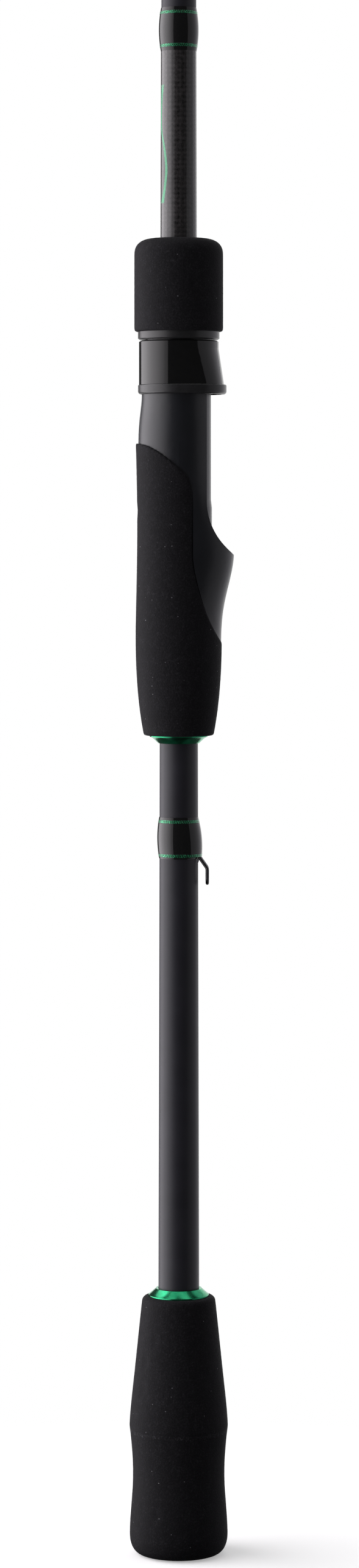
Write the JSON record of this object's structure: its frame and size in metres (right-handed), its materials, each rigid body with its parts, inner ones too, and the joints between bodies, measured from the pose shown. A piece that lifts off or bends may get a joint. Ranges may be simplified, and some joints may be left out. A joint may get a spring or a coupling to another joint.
{
  "type": "spinning rod butt section",
  "caption": "Split-grip handle section of a travel spinning rod: reel seat with a screw-down hood, foam grips, hook keeper, and a female ferrule for the next section.",
  "frame": {"origin": "centre of the flat end of the butt grip, on the rod axis", "axes": "+Z along the rod from the butt towards the ferrule; +X towards the reel side, where the saddle and the hook keeper are; +Y completes a right-handed frame"},
  "size_m": [0.0326, 0.0308, 0.548],
  "materials": {
    "carbon_matte": "satin",
    "clear_coat": "gloss",
    "plug_rubber": "matte",
    "eva_foam": "matte",
    "green_anodised": "anodised",
    "thread_gloss": "gloss",
    "green_thread": "metallic thread",
    "black_wire": "black nickel",
    "seat_satin": "satin",
    "liner": "satin",
    "arbor_foam": "matte",
    "hood_gloss": "gloss",
    "band_satin": "satin",
    "nut_grey": "satin",
    "collar_black": "anodised"
  },
  "bodies": {
    "rod": {"blank": "carbon_matte", "blank_clear_coat": "clear_coat", "butt_plug": "plug_rubber", "butt_grip": "eva_foam", "butt_check_ring": "green_anodised", "keeper_winding": "thread_gloss", "keeper_trim_upper": "green_thread", "keeper_trim_lower": "green_thread", "hook_keeper": "black_wire", "palm_check_ring": "green_anodised", "palm_grip": "eva_foam", "reel_seat_body": "seat_satin", "fixed_hood_liner": "liner", "seat_arbor_lower": "arbor_foam", "seat_arbor_middle": "arbor_foam", "seat_arbor_upper": "arbor_foam", "front_winding": "thread_gloss", "front_trim_upper": "green_thread", "front_trim_lower": "green_thread", "ferrule_winding": "thread_gloss", "ferrule_trim_upper": "green_thread", "ferrule_trim_lower": "green_thread", "ferrule_collar": "collar_black"},
    "hood": {"moving_hood": "hood_gloss", "hood_band": "band_satin", "hood_liner": "liner", "retaining_ring": "band_satin"},
    "nut": {"locking_nut": "nut_grey", "foregrip": "eva_foam"}
  },
  "joints": [
    {"name": "hood_slide", "type": "slide", "parent": "rod", "child": "hood", "axis": [0, 0, 1], "range_m": [0, 0.014]},
    {"name": "nut_turn", "type": "hinge", "parent": "hood", "child": "nut", "pos_m": [0, 0, 0.3797], "axis": [0, 0, 1], "range_deg": [0, 1679]}
  ],
  "couplings": [
    {"joint": "hood_slide", "follows": "nut_turn", "m_per_rad": 0.00047746}
  ]
}
